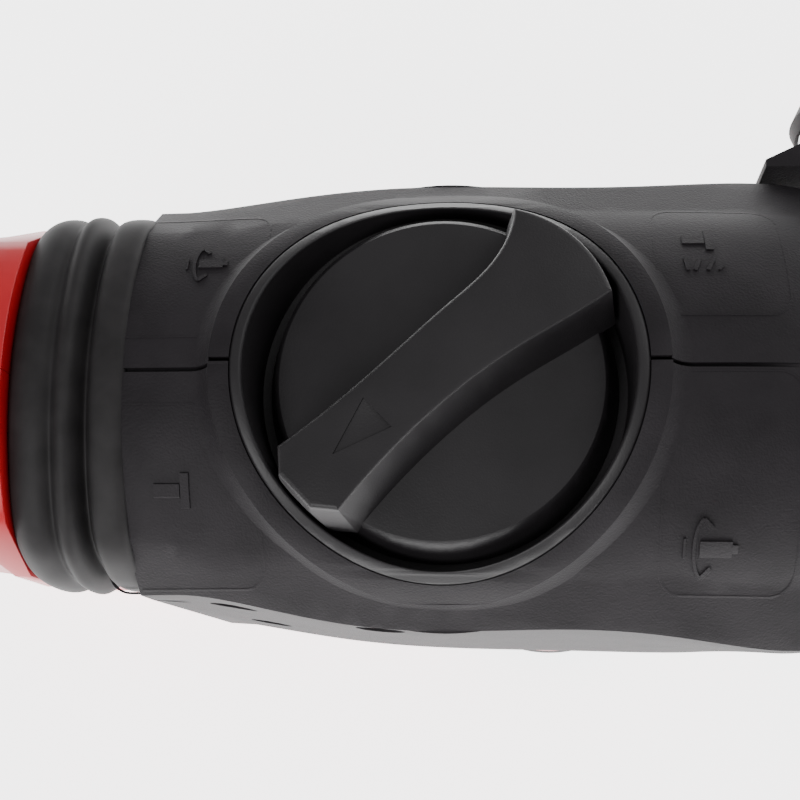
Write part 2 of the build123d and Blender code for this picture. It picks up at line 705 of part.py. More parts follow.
fan_low = -80.0
with BuildPart() as cooling_fan:
    with BuildSketch(Plane((motor_x, 0, fan_low))):
        Circle(pot_r - 6)
        Circle(shaft_r, mode=Mode.SUBTRACT)
    extrude(amount=1.6)
    with BuildSketch(Plane((motor_x, 0, fan_low))):
        Circle(8)
        Circle(shaft_r, mode=Mode.SUBTRACT)
    extrude(amount=9)
    with BuildSketch(Plane((motor_x, 0, fan_low + 1.6))):
        with PolarLocations(20, 11):
            Rectangle(18, 1.4, rotation=25)
    extrude(amount=7)
save(cooling_fan.part, "cooling_fan")

with BuildPart() as stator:
    with BuildSketch(Plane((motor_x, 0, core_low))):
        Circle(pot_r - wall - 0.1)
        Circle(core_r + 0.7, mode=Mode.SUBTRACT)
        for side in (-1, 1):
            with Locations((0, side * coil_y)):
                SlotOverall(26, 7, mode=Mode.SUBTRACT)
    extrude(amount=core_high - core_low)
save(stator.part, "stator")

with BuildPart() as field_coils:
    with BuildSketch(Plane((motor_x, 0, core_low - 5))):
        for side in (-1, 1):
            with Locations((0, side * coil_y)):
                SlotOverall(25.6, 6.6)
    extrude(amount=core_high - core_low + 10)
save(field_coils.part, "field_coils")

brush_z = commutator_low + 8
with BuildPart() as brush_holders:
    for side in (-1, 1):
        with Locations((motor_x, side * 22.5, brush_z)):
            Box(11, 16, 9)
            Box(7.2, 16, 6.2, mode=Mode.SUBTRACT)
save(brush_holders.part, "brush_holders")

with BuildPart() as carbon_brushes:
    for side in (-1, 1):
        with Locations((motor_x, side * (commutator_r + 0.05 + 7.5), brush_z)):
            Box(7, 15, 6)
save(carbon_brushes.part, "carbon_brushes")

# ---- sprung D-handle ----
head_y = 33.5
grip_half = 18.0
arm_top = 46.5
skin = 3.0
with BuildSketch(Plane.XZ) as handle_side:
    with BuildLine():
        Polyline((handle_x, -8), (handle_x, arm_top))
        Spline((handle_x, arm_top), (-262, 41), (-292, 20), (-312, -22), (-318, -78), (-312, -122), (-296, -148),
               (-272, -158.5))
        Polyline((-272, -158.5), (-184, -158.5), (-184, -131), (-240, -127))
        Spline((-240, -127), (-262, -118), (-277, -98), (-281, -68), (-278, -38), (-267, -18), (-250, -9),
               (handle_x, -8))
    make_face()

with BuildPart() as handle_body:
    with BuildSketch(Plane.XZ.offset(-head_y - 4)):
        add(handle_side.sketch)
    extrude(amount=2 * head_y + 8)
    # seen from the front: wide crowned head, narrower grip and foot
    with BuildSketch(Plane.YZ.offset(-340)):
        with BuildLine():
            ThreePointArc((-26, 38.5), (0, arm_top), (26, 38.5))
            Polyline((26, 38.5), (head_y, 24), (head_y, 6), (grip_half, -30), (grip_half, -170), (-grip_half, -170),
                     (-grip_half, -30), (-head_y, 6), (-head_y, 24), (-26, 38.5))
        make_face()
    extrude(amount=200, mode=Mode.INTERSECT)
    # seen from above: the head narrows towards the grip
    with BuildSketch(Plane.XY.offset(-180)):
        with BuildLine():
            Polyline((-180, -head_y - 1), (-180, head_y + 1), (handle_x, head_y + 1))
            Spline((handle_x, head_y + 1), (-250, 27), (-280, grip_half), (-330, grip_half - 1))
            Polyline((-330, grip_half - 1), (-330, 1 - grip_half))
            Spline((-330, 1 - grip_half), (-280, -grip_half), (-250, -27), (handle_x, -head_y - 1))
            Line((handle_x, -head_y - 1), (-180, -head_y - 1))
        make_face()
    extrude(amount=260, mode=Mode.INTERSECT)

# hollows of the head and of the grip
head_hollow = ((-226, -3), (-226, 38), (-262, 34), (-284, 14), (-270, -6), (-250, -3))
grip_hollow = ((-284, 6), (-300, -6), (-308, -60), (-307, -110), (-292, -132), (-286, -110), (-286, -20), (-276, -4))
with BuildPart() as handle_cavity:
    for outline, half in ((head_hollow, 15), (grip_hollow, grip_half - skin - 1)):
        with BuildSketch(Plane.XZ.offset(-half)):
            with BuildLine():
                Polyline(outline, close=True)
            make_face()
        extrude(amount=2 * half)

# the soft grip is the rear skin of the handle between two heights
with BuildPart() as grip_zone:
    with BuildSketch(Plane.XZ.offset(-40)):
        add(handle_side.sketch)
        with Locations((-304, -60)):
            Rectangle(50, 130, mode=Mode.INTERSECT)
    extrude(amount=80)
    with BuildSketch(Plane.XZ.offset(-40)):
        with Locations((skin, 0)):
            add(handle_side.sketch)
    extrude(amount=80, mode=Mode.SUBTRACT)

trigger_z = -48.0
trigger_h = 34.0
trigger_y = 9.0
trigger_travel = 7.0
button_r = 7.0
button_z = -84.0
button_x = -292.0
with BuildPart() as trigger_slot:
    with Locations((-275, 0, trigger_z)):
        Box(30, 2 * (trigger_y + gap), trigger_h + 2 * gap + 1)

with BuildPart() as gland_hole:
    with BuildSketch(Plane((-322, 0, -134), x_dir=(0, 1, 0), z_dir=(-1, 0, 0))):
        Circle(8)
    extrude(amount=-26)

with BuildPart() as handle_shell:
    add(handle_body.part)
    add(handle_cavity.part, mode=Mode.SUBTRACT)
    add(grip_zone.part, mode=Mode.SUBTRACT)
    add(trigger_slot.part, mode=Mode.SUBTRACT)
    add(gland_hole.part, mode=Mode.SUBTRACT)
    with BuildSketch(Plane.XZ.offset(-40)):
        with Locations((pivot_x, pivot_z)):
            Circle(pin_r + run)
    extrude(amount=80, mode=Mode.SUBTRACT)
    with BuildSketch(Plane.XZ):
        with Locations((button_x, button_z)):
            Circle(button_r + gap)
    extrude(amount=-40, mode=Mode.SUBTRACT)

for label, side in (("handle_left", Keep.BOTTOM), ("handle_right", Keep.TOP)):
    with BuildPart() as half:
        add(handle_shell.part)
        split(bisect_by=Plane.XZ, keep=side)
    save(half.part, label)

with BuildPart() as grip_overmould:
    add(handle_body.part)
    add(grip_zone.part, mode=Mode.INTERSECT)
save(grip_overmould.part, "grip_overmould")

with BuildPart() as trigger:
    with BuildSketch(Plane.XZ.offset(-trigger_y)):
        with BuildLine():
            Spline((-282, trigger_z + trigger_h / 2), (-271, trigger_z + 10), (-268.5, trigger_z - 4),
                   (-274, trigger_z - trigger_h / 2))
            Polyline((-274, trigger_z - trigger_h / 2), (-283, trigger_z - trigger_h / 2),
                     (-283, trigger_z + trigger_h / 2), (-282, trigger_z + trigger_h / 2))
        make_face()
    extrude(amount=2 * trigger_y)
    fillet(trigger.edges().filter_by(lambda e: (e @ 0.5).X > -272), 2.5)
save(trigger.part, "trigger")

with BuildPart() as switch_body:
    with Locations((-283 - trigger_travel - 0.5 - 6, 0, trigger_z)):
        Box(12, 20, 40)
save(switch_body.part, "switch_body")

with BuildPart() as lock_button:
    with BuildSketch(Plane.XZ.offset(-8)):
        with Locations((button_x, button_z)):
            Circle(button_r)
    extrude(amount=-grip_half + 8 - 2.5)
    fillet(lock_button.faces().sort_by(Axis.Y)[-1].edges(), 1.2)
save(lock_button.part, "lock_button")

with BuildPart() as pivot_pin:
    with BuildSketch(Plane.XZ.offset(-27)):
        with Locations((pivot_x, pivot_z)):
            Circle(pin_r)
    extrude(amount=54)
save(pivot_pin.part, "pivot_pin")

with BuildPart() as cable_gland:
    revolve(side_profile([(-330, 4), (-330, 6.5), (-318, 7.6), (-300, 7.6), (-300, 4)]),
            axis=Axis.X)
save(cable_gland.part.moved(Location((0, 0, -134))), "cable_gland")

# ---- rubber bellows between the housing and the handle ----
def bellows_section(x, grow):
    with BuildSketch(Plane.YZ.offset(x)) as sketch:
        with BuildLine():
            ThreePointArc((-28 - grow, 36 + grow * 0.7), (0, 44 + grow), (28 + grow, 36 + grow * 0.7))
            Polyline((28 + grow, 36 + grow * 0.7), (34 + grow, 23.5), (34 + grow, 12), (26 + grow, -6 - grow),
                     (-26 - grow, -6 - grow), (-34 - grow, 12), (-34 - grow, 23.5),
                     (-28 - grow, 36 + grow * 0.7))
        make_face()
    return sketch.sketch


with BuildPart() as upper_bellows:
    extrude(bellows_section(handle_x, 0), amount=shell_back - handle_x)
    extrude(bellows_section(handle_x, -3), amount=shell_back - handle_x, mode=Mode.SUBTRACT)
save(upper_bellows.part, "upper_bellows")

# ---- side handle ----
band_low = bracket_x - 11
band_high = bracket_x + 9
band_r = neck_r + 5
band_root = neck_r + 2     # the arm starts inside the band
arm_low = -11.0
arm_top_z = 14.0
rod_y = grip_y - 6
rod_z = 8.0
rod_r = 3.0
rod_back = -97.0
rod_length = 145.0
button_rod_x = bracket_x
swing_clear = 48.0         # everything of the bracket behind the band stays outside this radius
with BuildPart() as clamp_band:
    revolve(side_profile([(band_low, neck_r + run), (band_low, band_r), (band_high, band_r),
                          (band_high, neck_r + run)]), axis=Axis.X)
    # arm to the grip, with a shoulder that runs back outside the housing
    with BuildSketch(Plane.XY.offset(arm_low)):
        with BuildLine():
            Polyline((band_low, band_root), (band_low, swing_clear), (-98, swing_clear), (-98, swing_clear + 1.5),
                     (-80, grip_y - 2), (-80, grip_y), (-53, grip_y), (-53, grip_y - 6), (band_high, 44),
                     (band_high, band_root), close=True)
        make_face()
    extrude(amount=arm_top_z - arm_low)
    with BuildSketch(Plane.YZ.offset(band_low - 1)):
        Circle(neck_r + run)
    extrude(amount=30, mode=Mode.SUBTRACT)
    # guide hole of the depth rod and the button's bore
    with BuildSketch(Plane.YZ.offset(-120)):
        with Locations((rod_y, rod_z)):
            Circle(rod_r + run)
    extrude(amount=80, mode=Mode.SUBTRACT)
    with Locations((button_rod_x, rod_y, rod_z + rod_r + 5)):
        Cylinder(rod_r + gap, 9.8, mode=Mode.SUBTRACT)
    with Locations(Location((bracket_x, grip_y - 8, 0), (90, 0, 0))):
        Cylinder(4.05, 16.1, mode=Mode.SUBTRACT)
save(clamp_band.part, "clamp_band")

with BuildPart() as depth_rod:
    with BuildSketch(Plane.YZ.offset(rod_back)):
        with Locations((rod_y, rod_z)):
            Circle(rod_r)
    extrude(amount=rod_length)
save(depth_rod.part, "depth_rod")

with BuildPart() as depth_button:
    with Locations((button_rod_x, rod_y, rod_z + rod_r + 1.3)):
        Cylinder(rod_r, 5.5, align=(Align.CENTER, Align.CENTER, Align.MIN))
save(depth_button.part, "depth_button")

with BuildPart() as side_grip:
    with BuildSketch(Plane.XY):
        with BuildLine():
            Polyline((0, grip_y - 15.5), (4, grip_y - 15.5), (4, grip_y + gap), (22, grip_y + gap),
                     (23, grip_y + 3), (21, grip_y + 7))
            Spline((21, grip_y + 7), (16, grip_y + 16), (16.5, grip_y + 45), (17.5, grip_y + 75), (16.5, grip_y + 102))
            Polyline((16.5, grip_y + 102), (21, grip_y + 108), (21, grip_y + 113), (17, grip_y + 117),
                     (0, grip_y + 117), (0, grip_y - 15.5))
        make_face()
    revolve(axis=Axis.Y)
save(side_grip.part.moved(Location((bracket_x, 0, 0))), "side_grip")
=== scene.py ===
import bpy
import json
import math
from mathutils import Matrix, Vector


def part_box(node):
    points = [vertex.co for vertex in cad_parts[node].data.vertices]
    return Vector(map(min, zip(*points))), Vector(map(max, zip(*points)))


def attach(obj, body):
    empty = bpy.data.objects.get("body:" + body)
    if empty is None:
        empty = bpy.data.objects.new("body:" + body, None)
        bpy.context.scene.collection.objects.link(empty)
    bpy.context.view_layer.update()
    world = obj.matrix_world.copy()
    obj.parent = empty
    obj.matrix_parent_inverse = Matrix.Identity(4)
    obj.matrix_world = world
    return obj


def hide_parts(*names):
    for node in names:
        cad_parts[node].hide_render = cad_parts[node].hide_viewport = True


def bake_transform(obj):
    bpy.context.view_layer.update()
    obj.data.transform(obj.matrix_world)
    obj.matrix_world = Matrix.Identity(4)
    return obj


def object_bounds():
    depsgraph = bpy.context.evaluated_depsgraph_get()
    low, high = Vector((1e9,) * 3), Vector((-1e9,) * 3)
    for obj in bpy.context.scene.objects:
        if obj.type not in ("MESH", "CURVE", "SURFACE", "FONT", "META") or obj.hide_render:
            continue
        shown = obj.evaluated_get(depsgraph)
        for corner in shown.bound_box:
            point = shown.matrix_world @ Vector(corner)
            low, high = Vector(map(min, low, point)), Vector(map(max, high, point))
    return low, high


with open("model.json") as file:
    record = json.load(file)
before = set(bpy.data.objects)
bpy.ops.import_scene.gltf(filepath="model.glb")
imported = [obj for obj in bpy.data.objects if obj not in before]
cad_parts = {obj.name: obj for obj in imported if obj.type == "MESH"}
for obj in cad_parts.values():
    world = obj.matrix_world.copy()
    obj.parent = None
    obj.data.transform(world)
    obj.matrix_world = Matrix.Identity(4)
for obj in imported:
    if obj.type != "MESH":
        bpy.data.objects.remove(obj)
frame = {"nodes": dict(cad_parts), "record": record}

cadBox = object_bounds()
mm = 0.001
dialX = (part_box("mode_dial")[0].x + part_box("mode_dial")[1].x) / 2
print("frame loaded")


# camera: close above the dial, leaning to the tool's right side and a little to the nose
# aim and distance in mm from the dial's axis, angles in degrees, lens in mm for a 36 mm wide sensor
cameraSet = {"aim": (-7.7, -2.2, 30.0), "distance": 250.0, "lean": 13.5, "yaw": 4.9, "roll": -0.4,
             "lens": 62.56}


def addCamera():
    lean, yaw, roll = (math.radians(cameraSet[k]) for k in ("lean", "yaw", "roll"))
    back = Vector((math.sin(yaw), -math.sin(lean) * math.cos(yaw), math.cos(lean) * math.cos(yaw)))
    right = (Vector((1, 0, 0)) - back * back.x).normalized()
    up = back.cross(right)
    turned = right * math.cos(roll) + up * math.sin(roll)
    up = up * math.cos(roll) - right * math.sin(roll)
    aim = Vector(cameraSet["aim"]) * mm + Vector((dialX, 0, 0))
    place = aim + back * cameraSet["distance"] * mm
    bpy.ops.object.camera_add(location=place)
    camera = bpy.context.object
    camera.matrix_world = Matrix.Translation(place) @ Matrix((turned, up, back)).transposed().to_4x4()
    camera.data.lens = cameraSet["lens"]
    camera.data.sensor_width = 36
    camera.data.clip_start = 0.01
    camera.data.dof.use_dof = False
    bpy.context.scene.camera = camera


addCamera()
print("camera placed")


# materials
def linear(hexColour):
    values = [int(hexColour[i:i + 2], 16) / 255 for i in (0, 2, 4)]
    return [v / 12.92 if v < 0.04045 else ((v + 0.055) / 1.055) ** 2.4 for v in values] + [1.0]


def addNode(tree, kind, links=(), **settings):
    node = tree.nodes.new(kind)
    for name, value in settings.items():
        if name in node.inputs:
            node.inputs[name].default_value = value
        elif name.replace("_", " ") in node.inputs:
            node.inputs[name.replace("_", " ")].default_value = value
        else:
            setattr(node, name, value)
    for source, socket in links:
        tree.links.new(source, node.inputs[socket])
    return node


def startMaterial(name, roughness, metallic=0.0, **shader):
    material = bpy.data.materials.new(name)
    material.use_nodes = True
    tree = material.node_tree
    surface = tree.nodes["Principled BSDF"]
    surface.inputs["Roughness"].default_value = roughness
    surface.inputs["Metallic"].default_value = metallic
    for socket, value in shader.items():
        surface.inputs[socket.replace("_", " ")].default_value = value
    spot = addNode(tree, "ShaderNodeTexCoord").outputs["Object"]
    return material, tree, surface, spot


def mottled(tree, surface, spot, dark, light, patchMm):
    noise = addNode(tree, "ShaderNodeTexNoise", [(spot, "Vector")], Scale=1 / (patchMm * mm), Detail=4.0)
    ramp = addNode(tree, "ShaderNodeValToRGB", [(noise.outputs["Fac"], "Fac")])
    first, last = ramp.color_ramp.elements
    first.position, last.position = 0.35, 0.65
    first.color, last.color = linear(dark), linear(light)
    tree.links.new(ramp.outputs["Color"], surface.inputs["Base Color"])


def grain(tree, surface, spot, grainMm, depthMm, strength):
    noise = addNode(tree, "ShaderNodeTexNoise", [(spot, "Vector")], Scale=1 / (grainMm * mm), Detail=2.0)
    bump = addNode(tree, "ShaderNodeBump", [(noise.outputs["Fac"], "Height")], Strength=strength,
                   Distance=depthMm * mm)
    tree.links.new(bump.outputs["Normal"], surface.inputs["Normal"])


# colours dark and light, roughness, grain width and depth in mm, grain strength, patch width in mm
def moulded(name, dark, light, roughness, grainMm, depthMm, strength, patchMm, **shader):
    material, tree, surface, spot = startMaterial(name, roughness, **shader)
    mottled(tree, surface, spot, dark, light, patchMm)
    grain(tree, surface, spot, grainMm, depthMm, strength)
    return material


# glass-filled nylon from a spark-eroded mould: fine pitted grain, near-black with a grey bloom
nylon = moulded("glassFilledNylonSparkEroded", "1b181b", "242124", 0.64, 0.42, 0.12, 1.0, 14.0, IOR=1.3)
# the same nylon polished lightly on the turning parts: satin, finer grain
dialNylon = moulded("nylonSatinMoulded", "1b191b", "222022", 0.47, 0.35, 0.05, 0.8, 18.0, IOR=1.4)
# glossy coloured ABS blend: smooth with very slight orange peel
redPlastic = moulded("absBlendSatinMoulded", "b0121c", "bd1a22", 0.34, 1.4, 0.02, 0.5, 20.0, IOR=1.5)
# thermoplastic rubber, moulded matte: soft, wide highlights
rubber = moulded("thermoplasticRubberMatte", "1c1a1b", "252324", 0.64, 0.25, 0.03, 0.6, 6.0, IOR=1.35)
# ground steel: bright, fine lines round the part
steel = moulded("steelGround", "8d8f92", "a5a7aa", 0.28, 0.3, 0.01, 0.5, 3.0, metallic=1.0)
# case-hardened steel under oil: darker, blotchy
gearSteel = moulded("steelHardenedOiled", "5b5d60", "77797c", 0.33, 0.6, 0.02, 0.5, 5.0, metallic=1.0)
# die-cast aluminium, blasted: pale, even grain
castAlloy = moulded("aluminiumDieCastBlasted", "9a9b9c", "b2b3b4", 0.46, 0.4, 0.04, 0.8, 6.0, metallic=1.0)
# enamelled copper wire: warm, lacquer shine
copper = moulded("copperEnamelled", "8a4a26", "b06a3a", 0.3, 0.5, 0.04, 0.8, 1.2, metallic=1.0)
# stacked electrical sheet: dark grey, fine layers
lamination = moulded("electricalSteelStacked", "4a4b4d", "5c5d5f", 0.45, 0.5, 0.03, 0.8, 2.0, metallic=1.0)
# pressed carbon: dull black
carbon = moulded("carbonPressed", "1a1a1b", "262627", 0.7, 0.3, 0.03, 0.8, 2.0)
# phosphated screw steel: black with a dull glint
screwBlack = moulded("steelPhosphated", "232426", "303133", 0.42, 0.3, 0.02, 0.6, 1.5, metallic=1.0)

finishes = {"housing_black": nylon, "dial_black": dialNylon, "red_plastic": redPlastic, "soft_rubber": rubber,
            "steel": steel, "gear_steel": gearSteel, "cast_alloy": castAlloy, "copper": copper,
            "lamination": lamination, "carbon": carbon, "screw_black": screwBlack, "fan_plastic": dialNylon}
slotOf = {s["node"]: s["material_slot"] for s in frame["record"]["subparts"]}
bodyOf = {n: b for b, nodes in frame["record"]["behaviour"]["bodies"].items() for n in nodes}


def wear(piece, material):
    piece.data.materials.clear()
    piece.data.materials.append(material)


def deselectAll():
    bpy.ops.object.select_all(action="DESELECT")


def pick(piece):
    deselectAll()
    piece.select_set(True)
    bpy.context.view_layer.objects.active = piece


def settle(piece, body, material, smoothAngle=35):
    pick(piece)
    bpy.ops.object.transform_apply(location=True, rotation=True, scale=True)
    bpy.ops.object.shade_smooth_by_angle(angle=math.radians(smoothAngle))
    wear(piece, material)
    if body:
        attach(piece, body)
    return piece


for name, node in frame["nodes"].items():
    wear(node, finishes[slotOf[name]])
print("materials given")


# outside shells: a merged copy of the CAD skin with real rounded edges, widths in mm
rounding = {"housing_left": 0.35, "housing_right": 0.35, "mode_dial": 0.25, "dial_bezel": 0.2,
            "motor_housing": 0.5, "motor_end_cap": 0.6, "handle_left": 1.6, "handle_right": 1.6,
            "grip_overmould": 0.5, "chuck_sleeve": 0.4, "dust_cap": 0.3, "front_housing": 0.4,
            "clamp_band": 0.9, "trigger": 0.3, "lock_button": 0.2, "side_grip": 0.8, "depth_rod": 0.4,
            "depth_button": 0.4, "housing_screws": 0.15, "cable_gland": 0.6, "spindle": 0.2, "gear_case": 0.5}
mergeWithin = 0.01
bevelFrom = 32


def roundedCopy(nodeName, width):
    mesh = frame["nodes"][nodeName].data.copy()
    piece = bpy.data.objects.new(nodeName + "_skin", mesh)
    bpy.context.collection.objects.link(piece)
    pick(piece)
    bpy.ops.object.mode_set(mode="EDIT")
    bpy.ops.mesh.select_all(action="SELECT")
    bpy.ops.mesh.remove_doubles(threshold=mergeWithin * mm)
    bpy.ops.mesh.tris_convert_to_quads(face_threshold=math.radians(2), shape_threshold=math.radians(60))
    bpy.ops.object.mode_set(mode="OBJECT")
    bevel = piece.modifiers.new("edges", "BEVEL")
    bevel.width = width * mm
    bevel.segments = 2
    bevel.limit_method = "ANGLE"
    bevel.angle_limit = math.radians(bevelFrom)
    bpy.ops.object.modifier_apply(modifier=bevel.name)
    settle(piece, bodyOf[nodeName], finishes[slotOf[nodeName]])
    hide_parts(nodeName)
    return piece


skins = {name: roundedCopy(name, width) for name, width in rounding.items()}


# the handle head, the casing end and the rod's tail sit a little off their flat CAD faces
# x from and to, z above which, and the shift along x, all in mm
setBack = {"handle_left": (-232.0, -200.0, -10.0, -6.6), "handle_right": (-232.0, -200.0, -10.0, -6.6),
           "housing_left": (-230.0, -209.5, -70.0, -4.0), "housing_right": (-230.0, -209.5, -70.0, -4.0),
           "depth_rod": (-100.0, -92.0, -20.0, 7.0)}


def moveBack(nodeName, first, last, above, shift):
    for vertex in skins[nodeName].data.vertices:
        if first * mm < vertex.co.x < last * mm and vertex.co.z > above * mm:
            vertex.co.x += shift * mm


for name, limits in setBack.items():
    moveBack(name, *limits)


# open seam along the top, where the two clamshells meet: x from and to off the dial's axis, and its y
seamSet = {"wide": 0.75, "floor": 43.5, "high": 8.0}
seams = ((-62.0, -39.4, 0.0), (-39.9, -35.0, 0.9), (35.0, 40.4, 0.4), (39.9, 80.0, 0.0))


def cutSeam(skin, first, last, shift):
    bpy.ops.mesh.primitive_cube_add(size=1, location=(dialX + (first + last) / 2 * mm, shift * mm,
                                                      (seamSet["floor"] + seamSet["high"] / 2) * mm))
    cutter = bpy.context.object
    cutter.scale = ((last - first) * mm, seamSet["wide"] * mm, seamSet["high"] * mm)
    bpy.ops.object.transform_apply(location=True, rotation=True, scale=True)
    pick(skin)
    cut = skin.modifiers.new("seam", "BOOLEAN")
    cut.operation = "DIFFERENCE"
    cut.solver = "EXACT"
    cut.object = cutter
    bpy.ops.object.modifier_apply(modifier=cut.name)
    bpy.data.objects.remove(cutter, do_unlink=True)


for name in ("housing_left", "housing_right"):
    for seam in seams:
        cutSeam(skins[name], *seam)
print("shells rounded")


# rubber bellows: a closed skin round the gap, two lobes, a valley and a front collar
bellowsSet = {"rear": -235.6, "front": -214.2, "base": (28.0, 34.0, 26.0), "crown": 44.0, "side": (23.5, 12.0),
              "shoulder": 36.0, "foot": -6.0, "round": 96, "skin": 1.2, "bendZ": 20.0}
# share of the length, and how far the skin stands out there
bellowsRings = ((0.0, -1.2), (0.08, 0.6), (0.2, 1.7), (0.32, 1.5), (0.37, 0.3), (0.40, 0.5), (0.46, 2.0),
                (0.54, 1.9), (0.59, 0.2), (0.64, -2.8), (0.68, -0.8), (0.71, 0.9), (0.78, 1.4), (0.9, 1.4),
                (0.96, 1.1), (1.0, 0.4))


def bellowsOutline(grow):
    crease, side, under = (v + grow for v in bellowsSet["base"])
    high, low = bellowsSet["side"]
    top, bottom = bellowsSet["crown"] + grow, bellowsSet["foot"] - grow
    drop = top - bellowsSet["shoulder"] - 0.7 * grow
    right = [(crease * t, top - drop * t * t) for t in (0, 0.33, 0.66, 0.86)]
    right += [(crease + 1.6, bellowsSet["shoulder"] - 1.6 + 0.6 * grow), (side - 0.5, high + 2.5),
              (side, high - 3), (side, low), (side - 1.8, low - 5), (under + 2.5, bottom + 4),
              (under - 1.5, bottom)]
    return right + [(-y, z) for y, z in reversed(right[1:])]


# a closed outline at even steps, with its corners rounded off
def smoothLoop(points, count):
    lengths = [0.0]
    closed = points + points[:1]
    for a, b in zip(closed, closed[1:]):
        lengths.append(lengths[-1] + math.dist(a, b))
    loop = []
    for step in range(count):
        goal = lengths[-1] * step / count
        i = max(k for k, value in enumerate(lengths) if value <= goal)
        share = (goal - lengths[i]) / (lengths[i + 1] - lengths[i])
        loop.append([a + (b - a) * share for a, b in zip(closed[i], closed[i + 1])])
    for turn in range(3):
        loop = [[(loop[k - 1][c] + 2 * loop[k][c] + loop[(k + 1) % count][c]) / 4 for c in (0, 1)]
                for k in range(count)]
    return loop


def addMesh(name, points, faces):
    mesh = bpy.data.meshes.new(name)
    mesh.from_pydata([[v * mm for v in point] for point in points], [], faces)
    piece = bpy.data.objects.new(name, mesh)
    bpy.context.collection.objects.link(piece)
    pick(piece)
    bpy.ops.object.mode_set(mode="EDIT")
    bpy.ops.mesh.select_all(action="SELECT")
    bpy.ops.mesh.normals_make_consistent(inside=False)
    bpy.ops.object.mode_set(mode="OBJECT")
    return piece


def addBellows():
    count, long = bellowsSet["round"], bellowsSet["front"] - bellowsSet["rear"]
    shells = [[(share, grow) for share, grow in bellowsRings],
              [(share, grow - bellowsSet["skin"]) for share, grow in reversed(bellowsRings)]]
    points = []
    for share, grow in shells[0] + shells[1]:
        x = bellowsSet["rear"] + long * share
        points += [(x, y, z) for y, z in smoothLoop(bellowsOutline(grow), count)]
    rings = len(points) // count
    faces = []
    for ring in range(rings):
        other = (ring + 1) % rings
        for k in range(count):
            ahead = (k + 1) % count
            faces.append((ring * count + k, ring * count + ahead, other * count + ahead, other * count + k))
    piece = addMesh("rubberBellows", points, faces)
    soften = piece.modifiers.new("soften", "SUBSURF")
    soften.levels = soften.render_levels = 2
    bpy.ops.object.modifier_apply(modifier=soften.name)
    settle(piece, None, rubber, 80)
    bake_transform(piece)
    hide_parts("upper_bellows")


addBellows()
print("bellows made")


# raised signs on the housing top, laid on the skin: each bar is its two ends and its width, in mm
signSet = {"high": 0.5, "bow": 0.75, "sunk": 0.6, "ridge": 0.75}
drillBars = [((-1.9, 0), (3.6, 0), 2.9), ((3.5, 0), (4.6, 0), 1.5), ((-4.5, 1.5), (-4.5, -1.5), 0.6),
             ((-1.4, 4.5), (0.2, 3.0), 0.9), ((-1.4, -4.5), (0.2, -3.0), 0.9)]
bowAngles = [math.radians(t) for t in range(-78, 79, 12)]
drillBow = [(-1.0 - 1.9 * math.cos(t), 4.6 * math.sin(t)) for t in bowAngles]
hammerBars = [((-3.3, 0), (1.3, 0), 2.7), ((2.2, 2.8), (2.2, -2.8), 2.0)]
slants = [((-2.7, -1.5), (-2.3, -4.1), 0.8), ((-0.1, -1.6), (-1.1, -4.1), 0.9),
          ((2.2, -1.9), (1.1, -4.1), 0.9), ((3.9, -3.0), (3.0, -4.1), 0.5)]


def sized(bars, size, rise=0.0):
    return [((size * a[0], rise + size * a[1]), (size * b[0], rise + size * b[1]), size * wide)
            for a, b, wide in bars]


def sizedBow(size):
    return [(size * x, size * y) for x, y in drillBow]


signs = {"drillRearLeft": {"spot": (-41.7, 20.7), "bars": sized(drillBars, 0.8), "bows": [sizedBow(0.8)]},
         "hammerRearRight": {"spot": (-46.0, -20.4), "bars": hammerBars, "bows": []},
         "chiselFrontLeft": {"spot": (45.2, 22.0), "bars": sized(hammerBars, 0.85, 2.9) + slants, "bows": []},
         "drillFrontRight": {"spot": (46.0, -29.3), "bars": drillBars, "bows": [drillBow]}}
# faint rounded outlines round the signs: x from and to, y from and to
frameLines = {"rearRight": (-62.0, -31.0, -36.0, -6.0), "rearLeft": (-60.0, -31.5, 6.0, 33.0),
              "frontRight": (37.5, 61.0, -36.5, -1.0), "frontLeft": (37.5, 60.0, 9.0, 34.0)}
lineSet = {"wide": 0.45, "high": 0.09, "round": 4.0, "step": 1.2, "offDial": 39.6}
skinNames = ("housing_left", "housing_right")
rayFrom = 90.0
lowest = 20.0


# height of the casing's skin at a place, in mm
def skinHeight(x, y):
    heights = []
    for name in skinNames:
        hit, spot = skins[name].ray_cast(Vector((x, y, rayFrom)) * mm, Vector((0, 0, -1)))[:2]
        if hit:
            heights.append(spot.z / mm)
    return max(heights, default=lowest)


# a low bar along a path, its feet sunk into the skin and its top following it
def ribbon(path, wide, high):
    points, faces = [], []
    last = len(path)
    edges = ((1, -signSet["sunk"]), (signSet["ridge"], high), (-signSet["ridge"], high), (-1, -signSet["sunk"]))
    for k, (x, y) in enumerate(path):
        before, after = path[max(k - 1, 0)], path[min(k + 1, last - 1)]
        along = Vector((after[0] - before[0], after[1] - before[1])).normalized()
        across = Vector((-along.y, along.x)) * wide / 2
        for side, rise in edges:
            px, py = dialX / mm + x + across.x * side, y + across.y * side
            points.append((px, py, skinHeight(px, py) + rise))
    for k in range(last - 1):
        for side in range(4):
            a, b, other = 4 * k, 4 * k + 4, (side + 1) % 4
            faces.append((a + side, b + side, b + other, a + other))
    faces.append((3, 2, 1, 0))
    faces.append(tuple(4 * last - 4 + side for side in range(4)))
    return points, faces


def arcPath(cx, cy, radius, first, last, step=12):
    turns = max(2, round(abs(last - first) / step))
    angles = [math.radians(first + (last - first) * k / turns) for k in range(turns + 1)]
    return [(cx + radius * math.cos(a), cy + radius * math.sin(a)) for a in angles]


def linePath(start, end, pieces=5):
    return [[a + (b - a) * k / pieces for a, b in zip(start, end)] for k in range(pieces + 1)]


